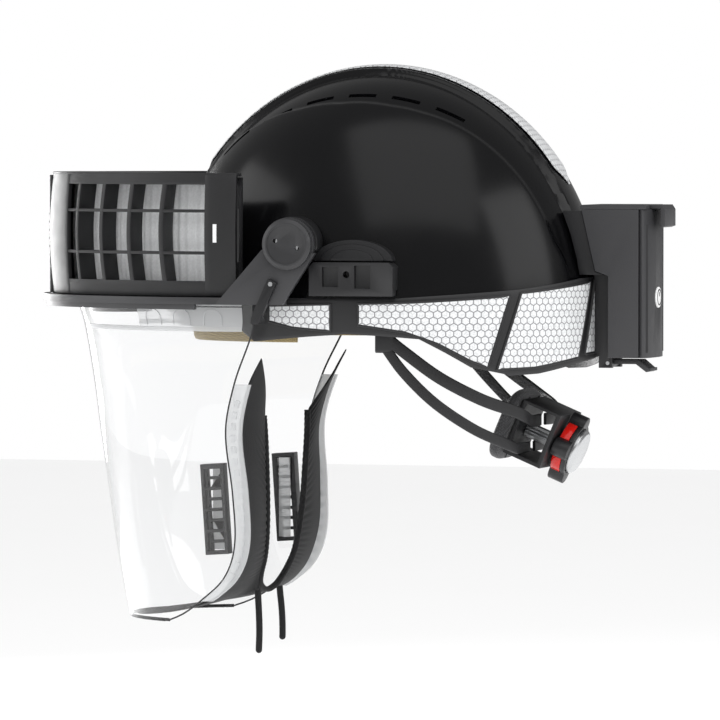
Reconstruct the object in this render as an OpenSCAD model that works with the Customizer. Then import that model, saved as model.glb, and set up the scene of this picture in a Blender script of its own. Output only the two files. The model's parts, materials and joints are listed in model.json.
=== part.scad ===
/* [Helmet] */
// Half width of the helmet shell at its rim
shell_rx = 105; // [102:1:108]
// Half length of the helmet shell at its rim
shell_ry = 146; // [144:1:148]
// Height of the crown above the rim plane
shell_h = 161; // [158:1:164]
// Wall thickness of the helmet shell
shell_wall = 3; // [2.5:0.5:4]
// Thickness of the rim band
band_wall = 2.2; // [2:0.1:2.4]

/* [Front unit] */
// Half width of the front unit
cowl_rx = 116; // [114:1:118]
// Half length of the front unit's oval, from its rear ends to its nose
cowl_ry = 166; // [160:1:170]
// Height of the front unit above the carrier plate
cowl_h = 81; // [76:1:84]
// Wall thickness of covers and housings
cover_wall = 2.4; // [2:0.2:3]
// Half width of the nose cover between the two grilles
nose_half = 28; // [24:1:30]

/* [Visor] */
// Height of the clear lens
lens_h = 212; // [200:2:216]
// Thickness of the clear lens
lens_wall = 1.6; // [1.2:0.2:2]

/* [Battery] */
// Half width of the battery pack
pack_half = 26; // [25:1:28]
// Rear face of the battery's case behind the helmet's centre
pack_rear = 181; // [180:1:183]
// Height of the battery pack above the rim plane
pack_top = 71; // [68:1:74]

/* [Harness] */
// Half width of the headband
head_rx = 82; // [80:1:84]
// Tilt of the ratchet knob's axis below the horizontal
knob_tilt = 23; // [20:1:26]

/* [Hidden] */
$fn = 48;

// Pivot axis of the front unit, along X
pivot_y = -30;
pivot_z = 45.6;
pivot_r = 16.5;
// Raised centre ridge of the shell and the stripe on it
ridge_width = 36;
ridge_high = 1.8;
stripe_width = 25;
// Rim band: just outside the shell
band_rx = shell_rx + 0.3;
band_ry = shell_ry + 0.3;
// Carrier plate, and the cowl that stands on it
plate_low = 6;
plate_high = 10.6;
cowl_low = plate_high + 0.4;
cowl_high = cowl_low + cowl_h;
cowl_y = -66;
inner_rx = 108;
inner_ry = 126;
arm_in = 116;
arm_out = 120;
// Where the covers meet the nose cover
hinge_x = nose_half + 5;
hinge_r = 2.4;
latch_y = -40.5;
latch_z = 19.8;
hinge_y = cowl_y - cowl_ry * sqrt(1 - pow(hinge_x / cowl_rx, 2)) + hinge_r;
// Depth of the grille's ribs, and the cells' edges as angles round the cowl's oval
rib_depth = 13;
cell_edges = [8, 19.2, 28.7, 38.3, 48.8, 55.5];
cell_rows = [[21, 38.5], [40.5, 66], [68, 84.5]];
// Blower axis
fan_y = -186;
fan_r = 24;
// Lens rows: height, half width, front, sweep to each side in degrees
lens_top = 6;
lens_rows = [
    [0, 110, -212, 95], [-0.08, 106, -207, 94.5], [-0.25, 98, -201, 88], [-0.4, 93, -197, 84.5],
    [-0.6, 89, -191, 86], [-0.76, 87, -186, 86], [-0.86, 86, -182, 81.5], [-0.93, 85, -179, 72],
    [-0.975, 84, -177, 63], [-1, 83, -176, 54]];
lens_y = -70;
// Ratchet, in its own frame with +Z along the knob's axis
nape_y = 127;
nape_z = -90;
// Battery
pack_y = 160.4;
neck_half = 13.6;
pack_low = -29.5;
clip_y = 157;
clip_z = -33.4;
release_y = pack_rear - 2.6;
release_z = pack_top - 1.3;
// Cord routes, from the hem downwards
left_route = [[25.6, -81, -187], [25.9, -80.6, -193], [26.3, -80.1, -200], [26.8, -79.6, -208],
    [27.2, -79.4, -216], [27.4, -79.6, -224], [27.4, -79.8, -229]];
right_route = [[-26, -82.2, -187.5], [-26.3, -81.8, -193], [-26.8, -81.2, -200], [-27.2, -80.8, -207],
    [-27.4, -80.6, -214], [-27.5, -80.6, -220], [-27.5, -80.8, -224]];
cord_d = 4.4;

gloss = [0.04, 0.04, 0.045];
dark = [0.16, 0.16, 0.17];
grey = [0.3, 0.3, 0.31];
pale = [0.82, 0.83, 0.83];
steel = [0.7, 0.71, 0.72];

// An oval arc about (0, cy), angles measured from +X towards +Y
function oval(rx, ry, cy, from, to, n = 40) =
    [for (i = [0:n]) let (t = from + (to - from) * i / n) [rx * cos(t), cy + ry * sin(t)]];

// A thick oval arc as a closed outline
function oval_strip(rx, ry, cy, wall, from, to, n = 40) =
    concat(oval(rx, ry, cy, from, to, n), oval(rx - wall, ry - wall, cy, to, from, n));

function ring(rx, ry, cy, n = 72) = [for (i = [0:n - 1]) [rx * cos(i * 360 / n), cy + ry * sin(i * 360 / n)]];

module wall(outline, low, high) {
    translate([0, 0, low]) linear_extrude(high - low) polygon(outline);
}

// A solid whose outline is drawn in (Y, Z) and which runs along X
module side_plate(outline, x1, x2) {
    translate([x1, 0, 0]) rotate([90, 0, 90]) linear_extrude(x2 - x1) polygon(outline);
}

module at_sides() {
    children();
    mirror([1, 0, 0]) children();
}

// A cylinder along X
module rod_x(r, x1, x2, y, z) {
    translate([x1, y, z]) rotate([0, 90, 0]) cylinder(r = r, h = x2 - x1);
}

// The volume inside the shell's outer surface, grown by a margin
module dome(grow = 0) {
    scale([shell_rx + grow, shell_ry + grow, shell_h + grow]) sphere(r = 1, $fn = 96);
}

// A closed solid through a list of rings, whose opposite points face each other
module skin(rings) {
    n = len(rings[0]);
    m = len(rings);
    sides = [for (i = [0:m - 2], j = [0:n - 1]) each [
        [i * n + j, (i + 1) * n + (j + 1) % n, i * n + (j + 1) % n],
        [i * n + j, (i + 1) * n + j, (i + 1) * n + (j + 1) % n]]];
    first = [for (k = [0:n / 2 - 2]) each [[k, k + 1, n - 2 - k], [k, n - 2 - k, n - 1 - k]]];
    last = [for (f = first) [for (k = [2:-1:0]) f[k] + (m - 1) * n]];
    polyhedron(points = [for (r = rings) each r], faces = concat(sides, first, last), convexity = 6);
}

// A strap of rectangular section along a list of points: thick sideways, high upwards
module ribbon(points, thick, high) {
    m = len(points);
    skin([for (i = [0:m - 1])
        let (a = points[max(0, i - 1)], b = points[min(m - 1, i + 1)],
             d = [b[0] - a[0], b[1] - a[1]], s = [-d[1], d[0], 0] * thick / 2 / norm(d),
             p = points[i], u = [0, 0, high / 2])
        [p + s + u, p - s + u, p - s - u, p + s - u]]);
}

// A round cord along a list of points that runs mostly downwards
module cord(points, d) {
    skin([for (p = points) [for (k = [0:7]) p + d / 2 * [cos(k * 45), sin(k * 45), 0]]]);
}

// ---- Helmet ----

module vent_slots() {
    for (i = [0:5])
        translate([0, -92 + 30 * i, 0]) rotate([0, 19, 0]) translate([-2, 0, 100])
            cube([4, 20, 200], center = true);
}

// A band over the crown from front to rear, flat across, standing off the dome
module crown_band(width, low, high, from, to) {
    rotate([90, 0, 90]) translate([0, 0, -width / 2]) linear_extrude(width)
        polygon(oval_strip(shell_ry + high, shell_h + high, 0, high - low, from, to, 60));
}

module helmet_shell() {
    color(gloss) difference() {
        union() {
            dome();
            crown_band(ridge_width, -4, ridge_high, 16, 164);
        }
        dome(-shell_wall);
        translate([0, 0, -200]) cube([400, 400, 400], center = true);
        intersection() {
            at_sides() vent_slots();
            translate([0, 0, 150]) cube([400, 400, 130], center = true);
        }
    }
}

module crown_stripe() {
    color(steel) crown_band(stripe_width, ridge_high + 0.02, ridge_high + 0.8, 32, 146);
}

band_low = [[-160, -8], [-75, -8], [-61, -19], [-24, -15], [5, -13], [29, -14], [55, -16], [70, -26],
    [85, -35], [109, -40], [124, -39], [143, -32], [160, -28]];
band_high = [[160, 24], [112, 16], [40, 10], [-160, 10]];

module rim_band() {
    color(dark) {
        intersection() {
            difference() {
                wall(ring(band_rx + band_wall, band_ry + band_wall, 0), -45, 30);
                wall(ring(band_rx, band_ry, 0), -46, 31);
            }
            side_plate(concat(band_low, band_high), -150, 150);
        }
        difference() {
            wall(ring(band_rx, band_ry, 0), -3, 0);
            wall(ring(shell_rx - 3, shell_ry - 3, 0), -4, 1);
        }
    }
}

windows = [
    [[-48, -3], [-40, -7], [-25, -9], [-4, -11], [-4, 6.5], [-48, 5.5]],
    [[14, -6], [40, -11], [62, -18], [82, -30], [95, -34], [108, 12], [60, 9], [14, 7]],
    [[100, -35], [120, -34], [141, -29], [146, 20], [114, 14]]];

module reflectors() {
    color(pale) at_sides() intersection() {
        difference() {
            wall(ring(band_rx + band_wall + 0.6, band_ry + band_wall + 0.6, 0), -45, 30);
            wall(ring(band_rx + band_wall + 0.02, band_ry + band_wall + 0.02, 0), -46, 31);
        }
        union() {
            for (w = windows) side_plate(w, 26, 150);
            translate([0, 160, 0]) rotate([90, 0, 0]) linear_extrude(30)
                polygon([[3, -26], [23, -27], [13, 21], [3, 21]]);
        }
    }
}

module accessory_bracket(side) {
    mirror([side < 0 ? 1 : 0, 0, 0]) color(dark) difference() {
        side_plate([[-18, 12], [39, 12], [39, 31], [36, 34], [-15, 34], [-18, 31]], 94, 113);
        dome(0.3);
        wall(ring(band_rx + band_wall + 0.7, band_ry + band_wall + 0.7, 0), 0, 16);
        translate([109, -9, 18]) cube([10, 11, 13]);
        translate([109, 13, 17]) cube([10, 11, 15]);
        rod_x(2.2, 106, 120, 7.5, 26);
    }
}

module accessory_bracket_left() { accessory_bracket(1); }
module accessory_bracket_right() { accessory_bracket(-1); }

module side_badges() {
    color(gloss) at_sides() difference() {
        side_plate(concat([for (t = [0:10:180]) [10 + 27 * cos(t), 34.3 + 14 * sin(t)]]), 88, 109);
        dome(0.3);
    }
}

module pivot_mounts() {
    color(dark) at_sides() difference() {
        union() {
            rod_x(pivot_r + 1.5, 80, 113, pivot_y, pivot_z);
            rod_x(9, 113, 115.7, pivot_y, pivot_z);
        }
        dome(0.3);
        side_plate([[-20, 30], [40, 30], [40, 34.2], [-20, 34.2]], 80, 120);
        side_plate(concat([for (t = [0:10:180]) [10 + 27.5 * cos(t), 34.1 + 14.5 * sin(t)]]), 80, 114);
        rod_x(5, 79, 116, pivot_y, pivot_z);
    }
}

module pivot_bolts() {
    color(steel) at_sides() {
        rod_x(5, 103, 120.6, pivot_y, pivot_z);
        rod_x(8, 120.6, 122.4, pivot_y, pivot_z);
    }
}

// ---- Head harness ----

module headband() {
    color(dark) difference() {
        wall(ring(head_rx, 104, -30), -8, 22);
        wall(ring(head_rx - 2, 102, -30), -9, 23);
        translate([0, 110, 0]) cube([300, 120, 100], center = true);
    }
}

module brow_pad() {
    color([0.6, 0.53, 0.38]) difference() {
        wall(ring(head_rx - 2.3, 101.7, -30), -20, 18);
        wall(ring(head_rx - 8, 96, -30), -21, 19);
        translate([0, 70, 0]) cube([300, 190, 100], center = true);
    }
}

module arch(rx, rz, thick, width) {
    rotate([90, 0, 0]) translate([0, 0, -width / 2]) linear_extrude(width)
        polygon(oval_strip(rx, rz, 0, thick, 0.5, 179.5));
}

module crown_straps() {
    color(dark) {
        translate([0, -8, 0]) arch(96, 144, 1.6, 20);
        rotate([0, 0, 90]) arch(137, 144, 1.6, 20);
    }
}

module crown_pad() {
    color(dark) intersection() {
        translate([0, -8, 100]) cylinder(r = 30, h = 60);
        difference() {
            scale([94.2, 135.2, 142.2]) sphere(r = 1, $fn = 96);
            scale([89.8, 130.8, 137.8]) sphere(r = 1, $fn = 96);
        }
    }
}

// Clips that hold the strap ends inside the rim
module strap_anchors() {
    color(grey) {
        at_sides() translate([96.1, -21, -6]) cube([4.4, 26, 12]);
        for (s = [0, 180]) rotate([0, 0, s]) translate([-13, 137.1, -6]) cube([26, 4.4, 12]);
    }
}

// Two prongs run from the headband's side round to the rear
module nape_arm(side) {
    mirror([side < 0 ? 1 : 0, 0, 0]) color(dark) {
        ribbon([[84, 24, -14], [85, 40, -26], [81, 62, -42], [68, 86, -56], [50, 103, -64],
            [40, 108.2, -68], [26, 109, -71.4], [6, 109, -71.4]], 2, 8);
        ribbon([[84, 24, -20], [85, 38, -38], [81, 58, -58], [68, 80, -75], [50, 96, -85],
            [40, 101, -88.6], [34, 101.4, -89.4], [6, 101.4, -89.4]], 2, 7);
        translate([78, 18, -26]) cube([8, 14, 17.8]);
    }
}

module nape_frame() {
    translate([0, nape_y, nape_z]) rotate([-90 - knob_tilt, 0, 0]) children();
}

module nape_arm_left() { nape_arm(1); }
module nape_arm_right() { nape_arm(-1); }

module nape_pad() {
    color(grey) nape_frame() hull() {
        for (x = [-26, 26], y = [-17, 17]) {
            translate([x, y, -45]) cylinder(r = 8, h = 4, $fn = 32);
            translate([x, y, -38.4]) cylinder(r = 6, h = 4, $fn = 32);
        }
    }
}

module ratchet_housing() {
    color(dark) nape_frame() difference() {
        translate([-26, -21, -34.3]) cube([52, 38, 27.3]);
        translate([-30, -19, -31.5]) cube([60, 33.5, 21.5]);
        translate([0, 0, -40]) cylinder(r = 3.05, h = 40);
    }
}

// Four lobes, as wide as a fingertip
module knob_lobes(grow = 0) {
    for (i = [0:3]) rotate([0, 0, i * 90]) translate([0, 0, -5.5 - grow]) hull() {
        translate([6, 0, 0]) cylinder(r = 8 + grow, h = 11 + 2 * grow);
        translate([17.4, 0, 0]) cylinder(r = 6.2 + grow, h = 11 + 2 * grow);
    }
}

module ratchet_knob() {
    color([0.12, 0.12, 0.13]) nape_frame() difference() {
        union() {
            knob_lobes();
            translate([0, 0, -5.5]) cylinder(r = 14.6, h = 11);
            translate([0, 0, 2.2]) cylinder(r = 18.2, h = 3.3);
            translate([0, 0, -6.6]) cylinder(r = 8, h = 1.2);
        }
        translate([0, 0, -8]) cylinder(r = 3, h = 10);
        translate([0, 0, 4]) cylinder(r = 15.6, h = 5);
    }
}

// Coloured grips between the lobes
module knob_inserts() {
    color([0.75, 0.12, 0.1]) nape_frame() difference() {
        translate([0, 0, -4.6]) cylinder(r = 17.8, h = 6.6);
        translate([0, 0, -6]) cylinder(r = 14.7, h = 10);
        knob_lobes(0.1);
    }
}

module knob_cap() {
    color(steel) nape_frame() {
        translate([0, 0, 4.1]) cylinder(r = 15.4, h = 3.4);
        translate([0, 0, 7.5]) cylinder(r1 = 15.4, r2 = 13.6, h = 1.6);
    }
}

module ratchet_pinion() {
    color(steel) nape_frame() {
        translate([0, 0, -34]) cylinder(r = 2.98, h = 36);
        translate([0, 0, -31]) linear_extrude(20)
            polygon([for (i = [0:23]) let (r = i % 2 == 0 ? 5.2 : 4) [r * cos(i * 15), r * sin(i * 15)]]);
    }
}

// ---- Battery ----

// The wedge between shell and battery, its neck behind the rim band, and two ears for the clip's pin
module battery_carrier() {
    color(dark) difference() {
        union() {
            side_plate([[100, 25], [157, 25], [151, 27], [141.8, 67], [100, 67]], -pack_half + 2, pack_half - 2);
            side_plate([[100, -27], [pack_y - 0.4, -27], [pack_y - 0.4, 24], [157, 25.4], [100, 25.4]],
                -neck_half, neck_half);
            for (x = [-neck_half, neck_half - 4]) translate([x, 151, -36.5]) cube([4, 9, 9.6]);
        }
        dome(0.3);
        crown_band(ridge_width + 0.6, -4, ridge_high + 0.3, 2, 178);
        wall(ring(band_rx + band_wall + 0.7, band_ry + band_wall + 0.7, 0), -60, 24.6);
        for (x = [-8, 8]) translate([x, 150, 0]) cube([6, 24, 9], center = true);
        rod_x(1.3, -40, 40, clip_y, clip_z);
    }
}

module battery_contacts() {
    color([0.8, 0.65, 0.3]) for (x = [-8, 8]) translate([x - 3, 155, -4.5]) cube([6, 5, 9]);
}

pack_side = [[142.2, pack_top - 3], [151.6, 27.4], [pack_y, 24.4], [pack_y, pack_low],
    [pack_rear, pack_low], [pack_rear, pack_top - 3]];
pack_inside = [[147, pack_top - 6], [156, 30], [pack_y + 2.4, 26], [pack_y + 2.4, pack_low + 2.4],
    [pack_rear - 2.6, pack_low + 2.4], [pack_rear - 2.6, pack_top - 6]];
socket_x = -14;
socket_y = pack_rear - 12;

module battery_case() {
    color(grey) difference() {
        side_plate(pack_side, -pack_half, pack_half);
        side_plate(pack_inside, -pack_half + 2.4, pack_half - 2.4);
        translate([socket_x, socket_y, pack_low - 1]) cylinder(r = 4.5, h = 6);
        translate([0, pack_rear - 5, 10]) rotate([-90, 0, 0]) cylinder(r = 7.4, h = 20);
    }
}

module battery_cover() {
    color(grey) difference() {
        intersection() {
            translate([0, 0, pack_low]) linear_extrude(pack_top - 3 - pack_low)
                polygon(concat([[pack_half - 2, pack_rear + 0.1]], [for (t = [20:10:160])
                    [(pack_half + 1) * cos(t), pack_rear + 0.3 + 6.7 * sin(t)]],
                    [[-pack_half + 2, pack_rear + 0.1]]));
            translate([-50, pack_rear - 10, pack_low]) cube([100, 40, 200]);
        }
        translate([0, pack_rear - 5, 10]) rotate([-90, 0, 0]) cylinder(r = 7.4, h = 20);
        translate([-14.5, pack_rear - 2, pack_top - 7]) cube([29, 5, 10]);
    }
}

module battery_lid() {
    color(dark) difference() {
        side_plate([[141.6, pack_top - 2.9], [pack_rear + 5, pack_top - 2.9],
            [pack_rear + 5, pack_top - 0.6], [pack_rear + 3, pack_top], [143, pack_top], [141.2, pack_top - 0.8]], -pack_half + 0.4, pack_half - 0.4);
        translate([-14.5, pack_rear - 6, pack_top - 6]) cube([29, 30, 10]);
        rod_x(1.06, -18, 18, release_y, release_z);
    }
}

module battery_cells() {
    color([0.2, 0.45, 0.3]) for (x = [-15, 0, 15]) translate([x, pack_rear - 10.4, -14]) cylinder(r = 7.1, h = 50);
}

module battery_board() {
    color([0.1, 0.35, 0.2]) translate([-21, pack_rear - 26, 55]) cube([42, 22, 1.6]);
}

module charge_socket() {
    color(dark) translate([socket_x, socket_y, pack_low]) difference() {
        cylinder(r = 4.4, h = 13);
        translate([0, 0, -1]) cylinder(r = 2.8, h = 10);
    }
}

module battery_release() {
    color(grey) {
        side_plate([[release_y, pack_top - 2.6], [pack_rear + 12, pack_top - 2.6],
            [pack_rear + 12, pack_top - 15], [pack_rear + 15, pack_top - 14], [pack_rear + 15, pack_top - 3],
            [pack_rear + 13, pack_top], [release_y, pack_top]], -14, 14);
        rod_x(1, -17, 17, release_y, release_z);
    }
}

module power_button() {
    color(pale) translate([0, pack_rear, 10]) rotate([-90, 0, 0]) cylinder(r = 7, h = 7.6);
}

module battery_clip() {
    color(dark) difference() {
        union() {
            side_plate([[clip_y, -31], [pack_rear - 4, -31], [pack_rear + 2.5, -36.4],
                [pack_rear + 4, -36.4], [pack_rear + 4, -38.4], [pack_rear + 1, -39.2],
                [pack_rear - 6, -34], [clip_y, -34]], -9, 9);
            rod_x(2.4, -9, 9, clip_y, clip_z);
        }
        rod_x(1.32, -10, 10, clip_y, clip_z);
    }
}

module clip_pin() {
    color(steel) rod_x(1.26, -neck_half, neck_half, clip_y, clip_z);
}

// Power lead from the battery to the blower, clipped inside the rim band's ledge
module power_cable() {
    color(dark) wall(concat(oval(99.5, 141.5, 0, 88, -80, 60), oval(96.5, 138.5, 0, -80, 88, 60)), -10, -6.5);
}

// ---- Front unit ----

plate_rear = -34;

module carrier_plate() {
    difference() {
        union() {
            wall(concat(oval(arm_out, cowl_ry + 4, cowl_y, 0, -180), [[-arm_out, plate_rear],
                [arm_out, plate_rear]]), plate_low, plate_high);
            wall(oval(arm_out - 1, cowl_ry + 2, cowl_y, -10, -170), 2.6, plate_high);
        }
        wall(ring(110, 128, pivot_y), -10, 20);
        translate([-110, pivot_y - 6, 0]) cube([220, 60, 20]);
        wall(ring(114.6, cowl_ry - 6, cowl_y), -10, plate_low);
        translate([0, fan_y, 0]) cylinder(r = 21, h = 30);
    }
}

module visor_carrier() {
    color(grey) {
        carrier_plate();
        at_sides() difference() {
            union() {
                rod_x(17.4, arm_in, arm_out, pivot_y, pivot_z);
                side_plate([[-48, 42], [-80, plate_low], [plate_rear, plate_low], [-11.6, 40]],
                    arm_in, arm_out);
            }
            rod_x(5.05, arm_in - 1, arm_out + 1, pivot_y, pivot_z);
        }
    }
}

module pivot_cap(side) {
    mirror([side < 0 ? 1 : 0, 0, 0]) color([0.1, 0.1, 0.11]) difference() {
        union() {
            rod_x(pivot_r, arm_out, 123.4, pivot_y, pivot_z);
            translate([123.4, pivot_y, pivot_z]) rotate([0, 90, 0]) cylinder(r1 = pivot_r, r2 = 14.2, h = 1.6);
        }
        rod_x(8.6, arm_out - 1, 122.9, pivot_y, pivot_z);
        rod_x(13, 124.2, 126, pivot_y, pivot_z);
        for (s = [-1, 1]) rod_x(1.5, 121, 126, pivot_y + 7.4 * s, pivot_z - 2.4 * s);
    }
}

module pivot_cap_left() { pivot_cap(1); }
module pivot_cap_right() { pivot_cap(-1); }

// Half of the cowl's space: between the inner and the outer oval, x1 to x2
module cowl_slice(margin, x1, x2, low, high, wall_in = 0) {
    intersection() {
        difference() {
            wall(ring(cowl_rx - margin, cowl_ry - margin, cowl_y, 96), low, high);
            wall(ring(inner_rx + wall_in, inner_ry + wall_in, pivot_y, 96), low - 1, high + 1);
            translate([-150, cowl_y, -50]) cube([300, 300, 300]);
        }
        translate([x1, -260, low - 1]) cube([x2 - x1, 300, high - low + 2]);
    }
}

module blower_housing() {
    color(dark) difference() {
        union() {
            cowl_slice(cover_wall + 0.4, 1.6 - nose_half, nose_half - 1.6, cowl_low, cowl_high - 2.6);
            at_sides() intersection() {
                cowl_slice(0, nose_half - 4, cowl_rx, cowl_low, cowl_high - 3);
                wall(ring(inner_rx + 2.4, inner_ry + 2.4, pivot_y, 96), cowl_low, cowl_high - 3);
            }
        }
        translate([0, fan_y, cowl_low + 2.4]) cylinder(r = fan_r + 2, h = cowl_h - 8);
        translate([0, fan_y, 0]) cylinder(r = 19, h = 40);
        translate([-40, fan_y - 8, 52]) cube([80, 16, 30]);
    }
}

module nose_cover() {
    color(dark) intersection() {
        difference() {
            wall(ring(cowl_rx, cowl_ry, cowl_y, 96), cowl_low, cowl_high);
            wall(ring(cowl_rx - cover_wall, cowl_ry - cover_wall, cowl_y, 96), cowl_low - 1, cowl_high - 2.4);
            wall(ring(inner_rx, inner_ry, pivot_y, 96), -10, 200);
        }
        translate([-nose_half, -260, 0]) cube([nose_half * 2, 120, 200]);
    }
}

module fan_motor() {
    color(steel) translate([0, fan_y, 0]) {
        translate([0, 0, cowl_low + cowl_h - 25.6]) cylinder(r = 14, h = 20);
        translate([0, 0, 28]) cylinder(r = 1.5, h = cowl_high - 50);
    }
}

// Controller board round the motor
module blower_board() {
    color([0.1, 0.35, 0.2]) translate([0, fan_y, 80]) difference() {
        cylinder(r = fan_r + 1.6, h = 1.6);
        translate([0, 0, -1]) cylinder(r = 14.3, h = 4);
    }
}

module impeller() {
    color(pale) translate([0, fan_y, 0]) difference() {
        union() {
            translate([0, 0, 24]) cylinder(r = fan_r, h = 2);
            translate([0, 0, 24]) cylinder(r = 6, h = 26);
            for (i = [0:8]) rotate([0, 0, i * 40]) translate([9, 0, 25]) rotate([0, 0, 30])
                cube([13, 1.2, 18]);
        }
        translate([0, 0, 20]) cylinder(r = 1.54, h = 40);
    }
}

module air_outlet() {
    color(dark) translate([0, fan_y, -2]) difference() {
        cylinder(r = 20.9, h = cowl_low + 2);
        translate([0, 0, -1]) cylinder(r = 18, h = 40);
    }
    color(dark) intersection() {
        translate([0, fan_y, -2]) cylinder(r = 19, h = 3);
        for (i = [-2:2]) translate([-20, fan_y + i * 6 - 0.8, -2]) cube([40, 1.6, 3]);
    }
}

module filter(side) {
    mirror([side < 0 ? 1 : 0, 0, 0]) color(pale) intersection() {
        cowl_slice(rib_depth + 1.6, nose_half + 1.2, 112, cowl_low + 3, cowl_high - 7, 2.7);
        difference() {
            translate([-10, -260, 0]) cube([200, 190, 200]);
            translate([hinge_x, hinge_y, 0]) cylinder(r = 8, h = 200);
        }
    }
}

module filter_left() { filter(1); }
module filter_right() { filter(-1); }

module hinge_pins() {
    color(steel) at_sides() {
        translate([hinge_x, hinge_y, plate_high]) cylinder(r = 1.1, h = cowl_h - 4);
        rod_x(1.5, arm_out, 124.9, latch_y, latch_z);
    }
}

// Cells of the grille: five columns by three rows, cut through the ribs' whole depth
module grille_cells() {
    rib = 1.3;
    for (i = [0:4], row = cell_rows)
        wall(concat(oval(cowl_rx + 4, cowl_ry + 4, cowl_y, -cell_edges[i], rib - cell_edges[i + 1], 4),
                    oval(cowl_rx - 24, cowl_ry - 24, cowl_y, rib - cell_edges[i + 1], -cell_edges[i], 4)),
             row[0], row[1]);
}

module filter_cover(side) {
    low = cell_rows[0][0] - 2;
    high = cell_rows[2][1] + 2;
    mirror([side < 0 ? 1 : 0, 0, 0]) color(dark) difference() {
        union() {
            intersection() {
                difference() {
                    wall(ring(cowl_rx, cowl_ry, cowl_y, 96), cowl_low, cowl_high);
                    wall(ring(cowl_rx - cover_wall, cowl_ry - cover_wall, cowl_y, 96), cowl_low - 1,
                        cowl_high - 2.4);
                    wall(ring(inner_rx + 3, inner_ry + 3, pivot_y, 96), -10, 200);
                }
                translate([nose_half + 1.6, -260, 0]) cube([200, 260 + cowl_y, 200]);
            }
            wall(oval_strip(cowl_rx - 1, cowl_ry - 1, cowl_y, rib_depth - 1, -cell_edges[5],
                1.3 - cell_edges[0]), low, high);
            translate([hinge_x, hinge_y, cowl_low]) cylinder(r = hinge_r, h = cowl_h - 1);
            translate([106.5, cowl_y - 2.4, cowl_low]) cube([cowl_rx - 107.5, 2.4, cowl_h]);
        }
        grille_cells();
        wall(ring(inner_rx + 3, inner_ry + 3, pivot_y, 96), -10, 200);
        translate([hinge_x, hinge_y, 0]) cylinder(r = 1.16, h = cowl_high - 2.4);
        translate([cowl_rx - 8, cowl_y - 4, 44]) cube([4, 8, 14]);
    }
}

module filter_cover_left() { filter_cover(1); }
module filter_cover_right() { filter_cover(-1); }

// ---- Visor ----

// One point of the lens surface: row of the table, angle from straight ahead, depth behind the surface
function lens_point(row, a, depth) =
    let (z = lens_top + row[0] * lens_h, ry = lens_y - row[2])
    [(row[1] - depth) * sin(a), lens_y - (ry - depth) * cos(a), z];

module visor_lens() {
    n = 24;
    color([0.75, 0.85, 0.9, 0.35]) skin([for (r = lens_rows)
        let (a = r[3])
        concat([for (i = [0:n]) lens_point(r, a - 2 * a * i / n, 0)],
               [for (i = [n:-1:0]) lens_point(r, a - 2 * a * i / n, lens_wall)])]);
}

// The strip that carries the seal, behind the lens's rear edges
module visor_frame() {
    color([0.6, 0.62, 0.64, 0.6]) at_sides() skin([for (k = [2:7])
        let (r = lens_rows[k], a = r[3] + 0.4, b = a + 5)
        [lens_point(r, b, 0.2), lens_point(r, a, 0.2), lens_point(r, a, 2.6), lens_point(r, b, 2.6)]]);
}

module exhale_vent(side) {
    mirror([side < 0 ? 1 : 0, 0, 0]) color(dark) translate([78.6, -93, -130]) rotate([3.8, 0, 0]) difference() {
        translate([-6, -8, -30]) cube([9, 16, 60]);
        for (k = [0:7]) translate([-7, -4.2, -27.4 + 7 * k]) cube([12, 8.4, 5]);
        for (k = [0:3]) translate([-1, -5.8, -27.4 + 14 * k]) cube([6, 11.6, 12]);
    }
}

module exhale_vent_left() { exhale_vent(1); }
module exhale_vent_right() { exhale_vent(-1); }

module exhale_flaps() {
    color([0.2, 0.2, 0.2]) at_sides() translate([71, -97, -157]) cube([1, 8, 54]);
}

module visor_latch(side) {
    mirror([side < 0 ? 1 : 0, 0, 0]) color([0.12, 0.12, 0.13]) difference() {
        union() {
            side_plate([[-42.4, 23.3], [-36.6, 20.7], [-48.6, -5.3], [-54.4, -2.7]], 120.4, 124.4);
            translate([111.5, -54, -6.4]) cube([12.9, 5, 4.4]);
        }
        rod_x(1.56, 100, 130, latch_y, latch_z);
    }
}

module visor_latch_left() { visor_latch(1); }
module visor_latch_right() { visor_latch(-1); }

// ---- Face seal ----

// Stations round the left half of the opening: outer edge, hem edge
seal_path = [
    [[95, -56, -29], [50, -69, -68]], [[93, -67, -50], [48, -69, -84]], [[88.7, -74, -80], [45, -69.5, -104]],
    [[85.7, -72.5, -112], [42, -70, -126]], [[83.5, -72, -145], [38, -71.5, -148]],
    [[82, -77, -167], [35, -74, -164]], [[80.5, -85, -181], [31, -78, -175]],
    [[77.5, -98, -191], [25, -81, -182]], [[70, -122, -198], [18, -82.5, -185.5]],
    [[52, -147, -202], [12, -83.5, -187]], [[27, -165.5, -204], [6, -84, -188]],
    [[0, -171, -204.5], [0, -84.5, -188.5]]];

function flip_x(p) = [-p[0], p[1], p[2]];
seal_all = concat(seal_path,
    [for (i = [len(seal_path) - 2:-1:0]) [flip_x(seal_path[i][0]), flip_x(seal_path[i][1])]]);

// A strip of rectangular section along the seal's stations, from one depth to another past the outer edge
module seal_strip(from_hem, to_hem, front, back) {
    m = len(seal_all);
    skin([for (i = [0:m - 1])
        let (s = seal_all[i], t = seal_all[min(m - 1, i + 1)][1] - seal_all[max(0, i - 1)][1],
             q = (s[1] - s[0]) / norm(s[1] - s[0]), n = cross(t, q), u = n / norm(n),
             near = from_hem == 0 ? s[0] : s[1] + q * from_hem, far = s[1] + q * to_hem)
        [near + u * front, far + u * front, far - u * back, near - u * back]]);
}

module face_seal() { color(dark) seal_strip(0, 0, 1, 1); }
module seal_hem() { color([0.1, 0.1, 0.1]) seal_strip(0.5, 4.4, 1.8, 1.8); }

module cord_tail_left() { color(dark) cord(left_route, cord_d); }
module cord_tail_right() { color(dark) cord(right_route, cord_d); }

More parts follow.
